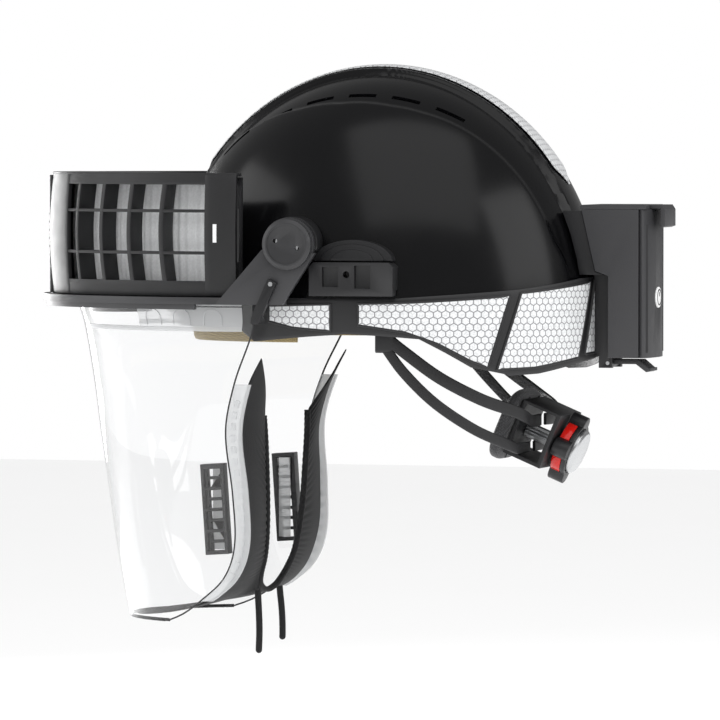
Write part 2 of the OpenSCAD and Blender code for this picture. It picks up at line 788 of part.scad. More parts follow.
helmet_shell();
crown_stripe();
rim_band();
reflectors();
accessory_bracket_left();
accessory_bracket_right();
side_badges();
pivot_mounts();
pivot_bolts();
headband();
brow_pad();
crown_straps();
crown_pad();
strap_anchors();
nape_arm_left();
nape_arm_right();
battery_carrier();
battery_contacts();
battery_clip();
clip_pin();
power_cable();
nape_pad();
ratchet_housing();
ratchet_knob();
knob_inserts();
knob_cap();
ratchet_pinion();
battery_case();
battery_cover();
battery_lid();
battery_cells();
battery_board();
charge_socket();
battery_release();
power_button();
visor_carrier();
pivot_cap_left();
pivot_cap_right();
blower_housing();
nose_cover();
fan_motor();
blower_board();
impeller();
air_outlet();
filter_left();
filter_right();
hinge_pins();
filter_cover_left();
filter_cover_right();
visor_lens();
visor_frame();
exhale_vent_left();
exhale_vent_right();
exhale_flaps();
visor_latch_left();
visor_latch_right();
face_seal();
seal_hem();
cord_tail_left();
cord_tail_right();
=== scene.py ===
"""Looks of a helmet-mounted powered air respirator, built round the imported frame. Lengths are in mm."""
import json
import math

import bmesh
import bpy
import numpy as np
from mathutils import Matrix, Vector


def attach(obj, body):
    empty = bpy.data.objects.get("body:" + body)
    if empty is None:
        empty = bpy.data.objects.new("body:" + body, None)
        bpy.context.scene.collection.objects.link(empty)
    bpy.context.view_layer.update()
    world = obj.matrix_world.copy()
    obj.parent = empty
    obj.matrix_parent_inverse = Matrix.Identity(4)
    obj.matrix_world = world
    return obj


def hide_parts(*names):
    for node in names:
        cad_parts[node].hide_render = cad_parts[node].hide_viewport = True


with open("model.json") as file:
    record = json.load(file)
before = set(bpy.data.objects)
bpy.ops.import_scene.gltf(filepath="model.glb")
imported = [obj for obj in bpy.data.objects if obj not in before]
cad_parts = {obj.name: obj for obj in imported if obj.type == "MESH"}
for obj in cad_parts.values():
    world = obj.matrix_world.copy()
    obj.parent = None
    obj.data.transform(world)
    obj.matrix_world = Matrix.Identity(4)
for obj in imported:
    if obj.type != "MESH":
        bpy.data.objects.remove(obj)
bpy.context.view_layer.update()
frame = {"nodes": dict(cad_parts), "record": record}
MM = 0.001

# Driving sizes, as in the CAD model
SHELL = Vector((105, 146, 161))
RIDGE_HALF, RIDGE_HIGH = 18, 1.8
BAND_X, BAND_Y = 107.5, 148.5
COWL_X, COWL_Y, COWL_CENTRE = 116, 166, -66
COWL_LOW, COWL_HIGH = 11, 92
NOSE_HALF = 28
CELL_EDGES = [8, 19.2, 28.7, 38.3, 48.8, 55.5]
CELL_ROWS = [(21, 38.5), (40.5, 66), (68, 84.5)]
RIB_DEPTH = 13
LENS_TOP, LENS_HIGH, LENS_Y = 6, 212, -70
# Lens rows: height as a share of the lens, half width, front, sweep to each side in degrees
LENS_ROWS = [(0, 110, -212, 95), (-0.08, 106, -207, 94.5), (-0.25, 98, -201, 88), (-0.4, 93, -197, 84.5),
             (-0.6, 89, -191, 86), (-0.76, 87, -186, 86), (-0.86, 86, -182, 81.5), (-0.93, 85, -179, 72),
             (-0.975, 84, -177, 63), (-1, 83, -176, 54)]
KNOB_CENTRE = Vector((0, 127, -90))
KNOB_TILT = math.radians(23)
# Cord routes, in metres
LEFT_ROUTE = [(.0256, -.081, -.187), (.0259, -.0806, -.193), (.0263, -.0801, -.200), (.0268, -.0796, -.208),
              (.0272, -.0794, -.216), (.0274, -.0796, -.224), (.0274, -.0798, -.229)]
RIGHT_ROUTE = [(-.026, -.0822, -.1875), (-.0263, -.0818, -.193), (-.0268, -.0812, -.200),
               (-.0272, -.0808, -.207), (-.0274, -.0806, -.214), (-.0275, -.0806, -.220),
               (-.0275, -.0808, -.224)]
CORD_D = 4.4
PACK_REAR, GROOVE_X = 181, 21

# ---- Camera, light and floor ----


def aim(obj, at):
    obj.rotation_euler = (Vector(at) - obj.location).to_track_quat("-Z", "Y").to_euler()


def camera():
    azimuth, height = math.radians(107), math.radians(2)
    target = Vector((0, -0.0175, -0.0335))
    away = Vector((math.sin(azimuth) * math.cos(height), -math.cos(azimuth) * math.cos(height),
                   math.sin(height)))
    cam = bpy.data.objects.new("camera", bpy.data.cameras.new("camera"))
    cam.data.lens = 337
    cam.location = target + away * 4.5
    aim(cam, target)
    bpy.context.collection.objects.link(cam)
    bpy.context.scene.camera = cam


def lamp(name, at, size, watts):
    data = bpy.data.lights.new(name, "AREA")
    data.size = size
    data.energy = watts
    light = bpy.data.objects.new(name, data)
    light.location = at
    aim(light, (0, -0.02, -0.02))
    bpy.context.collection.objects.link(light)


def backdrop(world):
    """White where the camera looks past the object, and a dimmer room in what is polished."""
    tree = world.node_tree
    path = tree.nodes.new("ShaderNodeLightPath")
    last = tree.nodes["Background"].outputs[0]
    tree.nodes["Background"].inputs["Color"].default_value = (1, 1, 1, 1)
    tree.nodes["Background"].inputs["Strength"].default_value = 1.0
    for ray, strength in (("Is Glossy Ray", 0.3), ("Is Camera Ray", 1.0), ("Is Transmission Ray", 1.0)):
        light = tree.nodes.new("ShaderNodeBackground")
        light.inputs["Color"].default_value = (1, 1, 1, 1)
        light.inputs["Strength"].default_value = strength
        both = tree.nodes.new("ShaderNodeMixShader")
        tree.links.new(path.outputs[ray], both.inputs[0])
        tree.links.new(last, both.inputs[1])
        tree.links.new(light.outputs[0], both.inputs[2])
        last = both.outputs[0]
    tree.links.new(last, tree.nodes["World Output"].inputs["Surface"])


def studio():
    bpy.context.scene.view_settings.view_transform = "Standard"
    world = bpy.data.worlds.new("studio")
    world.use_nodes = True
    backdrop(world)
    bpy.context.scene.world = world
    lamp("key", (1.5, 0.5, 2.2), 2.6, 20)
    lamp("front", (0.7, -2.2, 0.7), 1.8, 16)
    lamp("rear", (0.6, 2.2, 1.0), 1.6, 14)
    lamp("lens", (-1.3, -1.7, 0.1), 0.8, 22)
    mesh = bpy.data.meshes.new("floor")
    half, z = 6.0, -0.42
    corners = [(-half, -half, z), (half, -half, z), (half, half, z), (-half, half, z)]
    mesh.from_pydata(corners, [], [(0, 1, 2, 3)])
    floor = bpy.data.objects.new("floor", mesh)
    mesh.materials.append(plain("floor", (0.95, 0.95, 0.95), 0.9))
    bpy.context.collection.objects.link(floor)


# ---- Materials ----


class Nodes:
    """Short calls for building one material's node tree."""

    def __init__(self, name):
        self.mat = bpy.data.materials.new(name)
        self.mat.use_nodes = True
        self.tree = self.mat.node_tree
        self.shader = self.tree.nodes["Principled BSDF"]

    def add(self, kind, **settings):
        made = self.tree.nodes.new(kind)
        for key, value in settings.items():
            setattr(made, key, value)
        return made

    def join(self, out, into):
        self.tree.links.new(out, into)

    def feed(self, made, **inputs):
        for key, value in inputs.items():
            socket = made.inputs[int(key[1:])] if key[0] == "_" else made.inputs[key.replace("_", " ")]
            if hasattr(value, "is_output"):
                self.join(value, socket)
            else:
                socket.default_value = value
        return made

    def math(self, operation, a, b=0.0, c=0.0):
        made = self.add("ShaderNodeMath", operation=operation)
        return self.feed(made, _0=a, _1=b, _2=c).outputs[0]

    def coords(self, kind="Object"):
        return self.add("ShaderNodeTexCoord").outputs[kind]

    def noise(self, vector, scale, detail=3.0):
        made = self.add("ShaderNodeTexNoise")
        return self.feed(made, Vector=vector, Scale=scale, Detail=detail).outputs["Fac"]

    def ramp(self, fac, low, high, stops=(0.0, 1.0)):
        made = self.add("ShaderNodeValToRGB")
        for element, at, colour in zip(made.color_ramp.elements, stops, (low, high)):
            element.position = at
            element.color = (*colour, 1)
        self.join(fac, made.inputs["Fac"])
        return made.outputs["Color"]

    def mix(self, fac, a, b):
        made = self.add("ShaderNodeMix", data_type="RGBA")
        self.feed(made, _0=fac)
        for socket, value in ((made.inputs[6], a), (made.inputs[7], b)):
            if hasattr(value, "is_output"):
                self.join(value, socket)
            else:
                socket.default_value = (*value, 1)
        return made.outputs[2]

    def bump(self, height, strength, distance):
        made = self.add("ShaderNodeBump")
        self.feed(made, Height=height, Strength=strength, Distance=distance)
        self.join(made.outputs["Normal"], self.shader.inputs["Normal"])

    def colour(self, out):
        self.join(out, self.shader.inputs["Base Color"])

    def rough(self, out):
        self.join(out, self.shader.inputs["Roughness"])

    def set(self, **values):
        for key, value in values.items():
            self.shader.inputs[key.replace("_", " ")].default_value = value


def scaled(colour, by):
    return tuple(min(1.0, c * by) for c in colour)


def plain(name, colour, rough):
    n = Nodes(name)
    n.colour(n.ramp(n.noise(n.coords(), 3), scaled(colour, 0.99), colour))
    n.set(Roughness=rough)
    return n.mat


def plastic(name, colour, rough, grain=0.00012, scale=2600, edge_highlight=1.5):
    """Moulded plastic: spark-eroded grain, slight mottling, and a painted highlight that makes convex edges
    lighter.
    """
    n = Nodes(name)
    at = n.coords()
    mottled = n.ramp(n.noise(at, 28, 5), scaled(colour, 0.82), scaled(colour, 1.18), (0.3, 0.7))
    # Painted highlight: convex edges, found by pointiness, are mixed towards a lighter colour as if they caught
    # the light.
    edge = n.ramp(n.add("ShaderNodeNewGeometry").outputs["Pointiness"], (0, 0, 0), (1, 1, 1), (0.505, 0.56))
    n.colour(n.mix(edge, mottled, scaled(colour, edge_highlight)))
    n.rough(n.math("MULTIPLY_ADD", n.noise(at, 90, 4), 0.16, rough - 0.08))
    n.bump(n.noise(at, scale, 2), 0.5, grain)
    return n.mat


def gloss(name, colour, rough=0.06, coat=0.35):
    """Polished moulding: faint ripple, faint handling marks in the roughness."""
    n = Nodes(name)
    at = n.coords()
    n.colour(n.ramp(n.noise(at, 9), scaled(colour, 0.8), scaled(colour, 1.2)))
    n.rough(n.math("MULTIPLY_ADD", n.noise(at, 60, 6), 0.07, rough - 0.03))
    n.bump(n.noise(at, 45, 1), 0.12, 0.0004)
    n.set(Coat_Weight=coat, Coat_Roughness=0.12, Specular_IOR_Level=0.3)
    return n.mat


def metal(name, colour, rough=0.3):
    n = Nodes(name)
    at = n.coords()
    brushed = n.noise(n.feed(n.add("ShaderNodeMapping"), Vector=at, Scale=(1, 14, 14)).outputs[0], 260, 3)
    n.colour(n.ramp(brushed, scaled(colour, 0.8), scaled(colour, 1.1)))
    n.rough(n.math("MULTIPLY_ADD", brushed, 0.2, rough - 0.1))
    n.bump(brushed, 0.2, 0.0001)
    n.set(Metallic=1.0)
    return n.mat


def cloth(name, colour, thread=0.0009, sheen=0.25, rough=0.85):
    """Plain weave along the object's own axes, with painted shade between the threads and a soft fibre haze."""
    n = Nodes(name)
    at = n.coords()
    turned = n.feed(n.add("ShaderNodeMapping"), Vector=at, Rotation=(0.6, 0.5, 0.78)).outputs[0]
    waves = []
    for axis in ("X", "Y", "Z"):
        wave = n.add("ShaderNodeTexWave", bands_direction=axis)
        n.feed(wave, Vector=turned, Scale=0.31 / thread, Distortion=0.6, Detail=1.0)
        waves.append(wave.outputs["Fac"])
    height = n.math("ADD", n.math("MULTIPLY", waves[0], waves[1]), n.math("MULTIPLY", waves[2], 0.5))
    # Painted shade: the weave's low points between threads are made darker and its high points lighter; the
    # noise adds random tone.
    weave_shade_and_tone = n.math("ADD", n.math("MULTIPLY", height, 0.5), n.math("MULTIPLY", n.noise(at, 120, 4), 0.4))
    n.colour(n.ramp(weave_shade_and_tone, scaled(colour, 0.6), scaled(colour, 1.35), (0.15, 0.85)))
    n.bump(height, 0.6, thread * 0.25)
    n.set(Roughness=rough, Sheen_Weight=sheen, Sheen_Roughness=0.4)
    return n.mat


def hex_film(name, cell=0.0048):
    """Retroreflective film: pale sealed cells between grey hexagonal walls, laid out by the UV map."""
    n = Nodes(name)
    split = n.add("ShaderNodeSeparateXYZ")
    n.join(n.coords("UV"), split.inputs[0])
    root3 = math.sqrt(3)

    def offsets(shift):
        u = n.math("SUBTRACT", n.math("DIVIDE", split.outputs[0], cell), 0.5 * shift)
        v = n.math("SUBTRACT", n.math("DIVIDE", split.outputs[1], cell), root3 / 2 * shift)
        return (n.math("SUBTRACT", n.math("FLOORED_MODULO", u, 1.0), 0.5),
                n.math("SUBTRACT", n.math("FLOORED_MODULO", v, root3), root3 / 2))

    def edge_distance(u, v):
        u, v = n.math("ABSOLUTE", u), n.math("ABSOLUTE", v)
        slant = n.math("ADD", n.math("MULTIPLY", u, 0.5), n.math("MULTIPLY", v, root3 / 2))
        return n.math("MAXIMUM", slant, u)

    near = n.math("MINIMUM", edge_distance(*offsets(0)), edge_distance(*offsets(1)))
    wall = n.ramp(near, (0, 0, 0), (1, 1, 1), (0.41, 0.455))
    at = n.coords()
    film = n.ramp(n.noise(at, 900, 2), (0.60, 0.61, 0.62), (0.86, 0.87, 0.88), (0.3, 0.7))
    n.colour(n.mix(wall, film, (0.23, 0.23, 0.24)))
    n.bump(n.math("MULTIPLY", near, -1.0), 0.25, 0.0003)
    n.set(Roughness=0.32, Coat_Weight=0.5, Coat_Roughness=0.08, Specular_IOR_Level=0.6)
    return n.mat


def clear_plastic(name, clear, edge_on, rough=0.0):
    """Clear polycarbonate: less light comes through where the sheet is seen edge on."""
    n = Nodes(name)
    at = n.coords()
    slant = n.add("ShaderNodeLayerWeight")
    slant.inputs["Blend"].default_value = 0.5
    lit = n.ramp(slant.outputs["Facing"], clear, edge_on, (0.6, 1.0))
    n.colour(n.mix(n.ramp(n.noise(at, 6, 2), (0, 0, 0), (0.1, 0.1, 0.1)), lit, clear))
    n.rough(n.math("MULTIPLY_ADD", n.noise(at, 140, 5), 0.02, rough))
    n.set(Transmission_Weight=1.0, IOR=1.4)
    return n.mat


def frosted(name, colour, alpha):
    n = Nodes(name)
    at = n.coords()
    n.colour(n.ramp(n.noise(at, 40, 3), scaled(colour, 0.95), colour))
    n.bump(n.noise(at, 1800, 2), 0.3, 0.0001)
    n.set(Roughness=0.45, Alpha=alpha, IOR=1.45)
    return n.mat


def paper(name, colour):
    n = Nodes(name)
    at = n.coords()
    fibres = n.noise(at, 700, 6)
    n.colour(n.ramp(fibres, scaled(colour, 0.86), colour, (0.3, 0.7)))
    n.bump(fibres, 0.4, 0.0003)
    n.set(Roughness=0.9, Sheen_Weight=0.15)
    return n.mat


def palette():
    return {
        "shell_black": gloss("shell_black", (0.0025, 0.0025, 0.003), 0.2, 0.05),
        "reflective": hex_film("reflective"),
        "band_grey": plastic("band_grey", (0.012, 0.012, 0.013), 0.45),
        "trim_black": plastic("trim_black", (0.008, 0.008, 0.009), 0.42),
        "steel": metal("steel", (0.62, 0.63, 0.64)),
        "strap_plastic": plastic("strap_plastic", (0.011, 0.011, 0.012), 0.5),
        "brow_foam": cloth("brow_foam", (0.40, 0.31, 0.15), 0.0012),
        "webbing": cloth("webbing", (0.02, 0.02, 0.022), 0.0014),
        "contact_brass": metal("contact_brass", (0.75, 0.6, 0.3), 0.25),
        "battery_grey": plastic("battery_grey", (0.024, 0.024, 0.026), 0.5, grain=0.0002, scale=1700),
        "cable_rubber": plastic("cable_rubber", (0.012, 0.012, 0.012), 0.6),
        "pad_grey": cloth("pad_grey", (0.05, 0.05, 0.053), 0.0013),
        "insert_red": gloss("insert_red", (0.62, 0.012, 0.008), 0.15),
        "cell_wrap": gloss("cell_wrap", (0.05, 0.2, 0.12), 0.2),
        "board_green": gloss("board_green", (0.02, 0.15, 0.06), 0.3),
        "button_white": plastic("button_white", (0.75, 0.75, 0.75), 0.35, edge_highlight=1.1),
        "carrier_grey": plastic("carrier_grey", (0.026, 0.026, 0.028), 0.42),
        "cover_grey": plastic("cover_grey", (0.010, 0.010, 0.011), 0.46, grain=0.0002, scale=1900),
        "filter_media": paper("filter_media", (0.80, 0.81, 0.82)),
        "clear_lens": clear_plastic("clear_lens", (0.985, 0.987, 0.99), (0.62, 0.63, 0.64)),
        "frosted_strip": frosted("frosted_strip", (0.66, 0.67, 0.68), 0.55),
        "seal_fabric": cloth("seal_fabric", (0.010, 0.010, 0.011), 0.001, 0.06),
        "hem_elastic": cloth("hem_elastic", (0.008, 0.008, 0.009), 0.0012, 0.06),
        "cord_black": cloth("cord_black", (0.010, 0.010, 0.011), 0.0011, 0.08)}


# ---- Mesh tools ----


class Builder:
    """Collects points and faces in mm, with a UV in metres for each point."""

    def __init__(self):
        self.points, self.faces, self.uvs = [], [], []

    def grid(self, rows, uv_rows=None, closed=False, flip=False):
        """A surface through rows of points; closed joins each row's ends."""
        base, width = len(self.points), len(rows[0])
        for i, row in enumerate(rows):
            for j, point in enumerate(row):
                self.points.append(tuple(point))
                self.uvs.append(uv_rows[i][j] if uv_rows else (0, 0))
        for i in range(len(rows) - 1):
            for j in range(width if closed else width - 1):
                k = (j + 1) % width
                face = [base + i * width + j, base + i * width + k, base + (i + 1) * width + k,
                        base + (i + 1) * width + j]
                self.faces.append(face[::-1] if flip else face)
        return base

    def cap(self, base, width, flip=False):
        face = [base + j for j in range(width)]
        self.faces.append(face[::-1] if flip else face)

    def sweep(self, path, section, closed_path=False, up=(0, 0, 1), scale=None):
        """A solid whose section, in (side, up), follows a path; scale gives its size at each point."""
        rows = []
        count = len(path)
        path = [Vector(p) for p in path]
        for i, point in enumerate(path):
            ahead = path[(i + 1) % count] if closed_path else path[min(i + 1, count - 1)]
            behind = path[i - 1] if closed_path or i else path[0]
            along = (ahead - behind).normalized()
            side = along.cross(Vector(up)).normalized()
            top = side.cross(along)
            size = scale[i] if scale else 1
            rows.append([point + side * (s * size) + top * (t * size) for s, t in section])
        if closed_path:
            self.grid(rows + rows[:1], closed=True, flip=True)
        else:
            self.loft(rows, flip=True)

    def loft(self, rows, flip=False):
        """A solid through closed rows of points, capped at both ends."""
        base, width = self.grid(rows, closed=True, flip=flip), len(rows[0])
        self.cap(base, width)
        self.cap(base + (len(rows) - 1) * width, width, flip=True)

    def lathe(self, profile, steps):
        """Turns (radius, height) points about Z."""
        rows = [[(x, y, height) for x, y in circle_section(radius, steps)] for radius, height in profile]
        base = self.grid(rows, closed=True)
        self.cap(base, steps, flip=True)
        self.cap(base + (len(profile) - 1) * steps, steps)

    def box(self, low, high):
        (x1, y1, z1), (x2, y2, z2) = low, high
        base = len(self.points)
        self.points += [(x1, y1, z1), (x2, y1, z1), (x2, y2, z1), (x1, y2, z1),
                        (x1, y1, z2), (x2, y1, z2), (x2, y2, z2), (x1, y2, z2)]
        self.uvs += [(0, 0)] * 8
        for face in ((3, 2, 1, 0), (4, 5, 6, 7), (0, 1, 5, 4), (1, 2, 6, 5), (2, 3, 7, 6), (3, 0, 4, 7)):
            self.faces.append([base + k for k in face])

    def prism(self, outline, low, high):
        """An outline in (Y, Z) run along X."""
        base = len(self.points)
        width = len(outline)
        self.points += [(x, y, z) for x in (low, high) for y, z in outline]
        self.uvs += [(0, 0)] * (2 * width)
        for j in range(width):
            k = (j + 1) % width
            self.faces.append([base + j, base + k, base + width + k, base + width + j])
        self.cap(base, width, flip=True)
        self.cap(base + width, width)

    def moved(self, function, since=0):
        self.points[since:] = [tuple(function(Vector(p))) for p in self.points[since:]]

    def on_side(self, side, since=0):
        """Mirrors the points to the wearer's right where side is negative."""
        if side < 0:
            self.moved(lambda p: Vector((-p.x, p.y, p.z)), since)

    def object(self, name):
        mesh = bpy.data.meshes.new(name)
        mesh.from_pydata([Vector(p) * MM for p in self.points], [], self.faces)
        layer = mesh.uv_layers.new(name="UVMap")
        corner = np.zeros(len(mesh.loops), dtype=np.int32)
        mesh.loops.foreach_get("vertex_index", corner)
        layer.data.foreach_set("uv", np.array(self.uvs, dtype=np.float32)[corner].ravel())
        made = bpy.data.objects.new(name, mesh)
        bpy.context.collection.objects.link(made)
        return made


def modified(obj, kind, **settings):
    """Adds a modifier and applies it."""
    modifier = obj.modifiers.new(kind, kind)
    for key, value in settings.items():
        setattr(modifier, key, value)
    graph = bpy.context.evaluated_depsgraph_get()
    mesh = bpy.data.meshes.new_from_object(obj.evaluated_get(graph))
    obj.modifiers.clear()
    old = obj.data
    obj.data = mesh
    bpy.data.meshes.remove(old)
    mesh.name = obj.name
    return obj


def shade(obj, angle):
    for polygon in obj.data.polygons:
        polygon.use_smooth = True
    obj.data.set_sharp_from_angle(angle=math.radians(angle))


def fixed_normals(obj):
    work = bmesh.new()
    work.from_mesh(obj.data)
    bmesh.ops.recalc_face_normals(work, faces=work.faces)
    work.to_mesh(obj.data)
    work.free()


def settle(obj, slot, body, *nodes, angle=38, normals=True):
    """Finishes a piece: normals, shading, material, body and the CAD nodes that it stands for."""
    if normals:
        fixed_normals(obj)
    shade(obj, angle)
    obj.data.materials.clear()
    obj.data.materials.append(MATERIALS[slot])
    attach(obj, body)
    if nodes:
        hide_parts(*nodes)
    return obj


def bevelled(obj, width, segments=2, angle=30):
    return modified(obj, "BEVEL", width=width * MM, segments=segments, limit_method="ANGLE",
                    angle_limit=math.radians(angle), use_clamp_overlap=True)


def rounded_copy(node, slot, body, width=0.8, segments=2):
    """A copy of a CAD node with its edges rounded, as a moulding's are."""
    source = frame["nodes"][node]
    made = bpy.data.objects.new(node + "_moulding", source.data.copy())
    bpy.context.collection.objects.link(made)
    work = bmesh.new()
    work.from_mesh(made.data)
    bmesh.ops.remove_doubles(work, verts=work.verts, dist=0.00002)
    bmesh.ops.dissolve_limit(work, angle_limit=math.radians(4), verts=work.verts, edges=work.edges)
    work.to_mesh(made.data)
    work.free()
    bevelled(made, width, segments)
    return settle(made, slot, body, node, angle=32)


def mirrored(points):
    return [Vector((-p[0], p[1], p[2])) for p in points]


def smooth_path(points, steps):
    """Catmull-Rom curve through the points."""
    points = [Vector(p) for p in points]
    last = len(points) - 1
    out = []
    for i in range(last):
        p0, p1, p2, p3 = (points[min(max(i + k, 0), last)] for k in (-1, 0, 1, 2))
        for j in range(steps):
            t = j / steps
            out.append(0.5 * (2 * p1 + (p2 - p0) * t + (2 * p0 - 5 * p1 + 4 * p2 - p3) * t * t
                              + (3 * p1 - p0 - 3 * p2 + p3) * t ** 3))
    out.append(points[-1])
    return out


def rounded_section(width, height, radius, steps=3):
    """A rounded rectangle in (side, up), anticlockwise."""
    out = []
    for cx, cy, start in ((1, 1, 0), (-1, 1, 90), (-1, -1, 180), (1, -1, 270)):
        for k in range(steps + 1):
            angle = math.radians(start + 90 * k / steps)
            out.append((cx * (width / 2 - radius) + radius * math.cos(angle),
                        cy * (height / 2 - radius) + radius * math.sin(angle)))
    return out


def circle_section(radius, steps):
    return [(radius * math.cos(2 * math.pi * k / steps), radius * math.sin(2 * math.pi * k / steps))
            for k in range(steps)]


def smoothstep(a, b, x):
    t = min(1.0, max(0.0, (x - a) / (b - a)))
    return t * t * (3 - 2 * t)


def spread(a, b, count):
    return [a + (b - a) * k / (count - 1) for k in range(count)]


def table_curve(table, x):
    """Straight interpolation in a short table of (x, y) points."""
    for (x1, y1), (x2, y2) in zip(table, table[1:]):
        if x <= x2:
            return y1 + (y2 - y1) * max(0.0, x - x1) / (x2 - x1)
    return table[-1][1]


# ---- Helmet ----


def dome_point(longitude, latitude, off=0.0):
    """A point on the shell's ellipsoid, pushed out along its normal."""
    flat = math.cos(latitude)
    unit = Vector((flat * math.cos(longitude), flat * math.sin(longitude), math.sin(latitude)))
    point = Vector((unit.x * SHELL.x, unit.y * SHELL.y, unit.z * SHELL.z))
    normal = Vector((unit.x / SHELL.x, unit.y / SHELL.y, unit.z / SHELL.z)).normalized()
    return point + normal * off


# Half width in plan of the smooth side panel's upper edge, along the shell
PANEL_EDGE = [(-150, 0), (-116, 19), (-76, 39), (-45, 49), (-15, 54), (20, 55), (41, 53.5), (95, 46),
              (128, 41), (150, 24)]


def shell_relief(x, y, z):
    """How far the shell's surface stands off the plain dome: centre ridge, channel, side panel."""
    ridge = RIDGE_HIGH * (1 - smoothstep(RIDGE_HALF - 2.2, RIDGE_HALF, abs(x)))
    edge = table_curve(PANEL_EDGE, y)
    channel = smoothstep(RIDGE_HALF, RIDGE_HALF + 3, abs(x)) * (1 - smoothstep(edge - 3.2, edge, abs(x)))
    low = smoothstep(12, 40, z)
    return ridge - 2.2 * channel * low


def helmet_shell():
    shape = Builder()
    rows = []
    rings, around = 120, 420
    for i in range(rings + 1):
        latitude = math.radians(89.6) * (1 - i / rings)
        row = []
        for j in range(around):
            longitude = 2 * math.pi * j / around
            base = dome_point(longitude, latitude)
            row.append(dome_point(longitude, latitude, shell_relief(*base)))
        rows.append(row)
    base = shape.grid(rows, closed=True)
    shape.cap(base, around, flip=True)
    shell = shape.object("shell_moulding")
    fixed_normals(shell)
    modified(shell, "SOLIDIFY", thickness=-2.6 * MM, offset=1.0)
    cutter = Builder()
    for side in (-1, 1):
        for k in range(6):
            path = []
            for t in spread(-1, 1, 9):
                y = -92 + 30 * k + 9.5 * t
                x = 45.5 - 0.0011 * (y - 5) ** 2
                z = SHELL.z * math.sqrt(max(0.05, 1 - (x / SHELL.x) ** 2 - (y / SHELL.y) ** 2))
                path.append((side * x, y, z - 1))
            cutter.sweep(path, rounded_section(3.4, 16, 1.5), up=(side * 0.42, 0, 0.9))
    slots = cutter.object("slot_cutter")
    fixed_normals(slots)
    modified(shell, "BOOLEAN", operation="DIFFERENCE", object=slots, solver="EXACT")
    bpy.data.objects.remove(slots)
    settle(shell, "shell_black", "helmet", "helmet_shell", angle=30, normals=False)


def crown_stripe():
    """Film on the ridge, pointed at both ends."""
    shape = Builder()
    rows, uvs = [], []
    run = 0.0
    last = None
    for angle in spread(math.radians(31), math.radians(147), 130):
        y, z = SHELL.y * math.cos(angle), SHELL.z * math.sin(angle)
        here = Vector((0, y, z))
        run += (here - last).length if last else 0
        last = here
        left = min(1.0, (math.degrees(angle) - 31) / 5, (147 - math.degrees(angle)) / 5)
        half = 12.4 * max(0.06, left)
        row, uv = [], []
        for x in spread(-half, half, 9):
            drop = SHELL.z * (1 - math.sqrt(1 - (x / SHELL.x) ** 2)) * math.sin(angle)
            off = RIDGE_HIGH + 0.55
            row.append(here + Vector((x, off * math.cos(angle), off * math.sin(angle) - drop)))
            uv.append((x * MM, run * MM))
        rows.append(row)
        uvs.append(uv)
    shape.grid(rows, uvs)
    stripe = shape.object("crown_film")
    modified(stripe, "SOLIDIFY", thickness=0.5 * MM, offset=-1.0)
    settle(stripe, "reflective", "helmet", "crown_stripe")


def band_point(angle, z, off=0.0):
    """A point on the rim band: angle in degrees from the wearer's left towards the rear."""
    a = math.radians(angle)
    normal = Vector((math.cos(a) / BAND_X, math.sin(a) / BAND_Y, 0)).normalized()
    return Vector((BAND_X * math.cos(a), BAND_Y * math.sin(a), z)) + normal * off


# Mean radius of the band in metres, to lay out its film
FILM_RADIUS = 0.128
# Lower and upper edge of the band, by angle
BAND_LOW = [(-90, -8), (-30, -8), (-24, -18.5), (-9, -15), (2, -13), (11, -14), (21, -16), (28, -25),
            (35, -34.5), (47, -40), (56, -39), (74, -32.5), (90, -29)]
BAND_HIGH = [(-90, 10), (15, 10.5), (49, 16), (74, 22.5), (90, 24.5)]
# Windows in the band: left and right edges (angle at the bottom, at the top), then heights along them
WINDOWS = [((-19, -19), (-1.8, -1.8), [(0, -5, 5.2), (0.4, -9, 5.8), (1, -11, 6.6)]),
           ((5.4, 5.4), (39.6, 46.2), [(0, -7, 7), (0.35, -11.5, 8), (0.6, -19, 9.4), (0.85, -30, 11),
                                       (1, -34.5, 12.2)]),
           ((42.3, 49.8), (72.5, 80), [(0, -36, 13.8), (0.4, -35, 16.5), (1, -29, 20.5)]),
           ((76.2, 83.2), (89, 89.4), [(0, -27, 20.8), (1, -25.5, 21.5)])]


def window_point(window, u, v, off, side):
    (left_low, left_high), (right_low, right_high), heights = window
    low = table_curve([(a, b) for a, b, _ in heights], u)
    high = table_curve([(a, c) for a, _, c in heights], u)
    angle = (left_low + (left_high - left_low) * v) * (1 - u) + (right_low + (right_high - right_low) * v) * u
    point = band_point(angle, low + (high - low) * v, off)
    return Vector((side * point.x, point.y, point.z))


def rim_band():
    shape = Builder()
    profile = [(-2.1, 0), (-0.5, 0), (0.1, 0.03), (0.3, 0.08), (0.3, 0.92), (0.1, 0.97), (-0.5, 1), (-2.1, 1)]
    rows = []
    for angle in spread(-180, 180, 361):
        folded = 180 - abs(angle) if abs(angle) > 90 else abs(angle)
        signed = folded if angle > 0 else -folded
        low, high = table_curve(BAND_LOW, signed), table_curve(BAND_HIGH, signed)
        rows.append([band_point(angle, low + (high - low) * share, off) for off, share in profile])
    shape.grid(rows, closed=True)
    frames = []
    for side in (-1, 1):
        for window in WINDOWS:
            edge = ([(u, 0.0) for u in spread(0, 1, 24)] + [(1.0, v) for v in spread(0, 1, 9)[1:]]
                    + [(u, 1.0) for u in spread(1, 0, 24)[1:]] + [(0.0, v) for v in spread(1, 0, 9)[1:-1]])
            frames.append([window_point(window, u, v, 0.5, side) for u, v in edge])
    for loop in frames:
        shape.sweep(loop, rounded_section(1.7, 1.6, 0.5, 2), closed_path=True, up=(0.9, 0.3, 0))
    settle(shape.object("band_moulding"), "band_grey", "helmet", "rim_band")


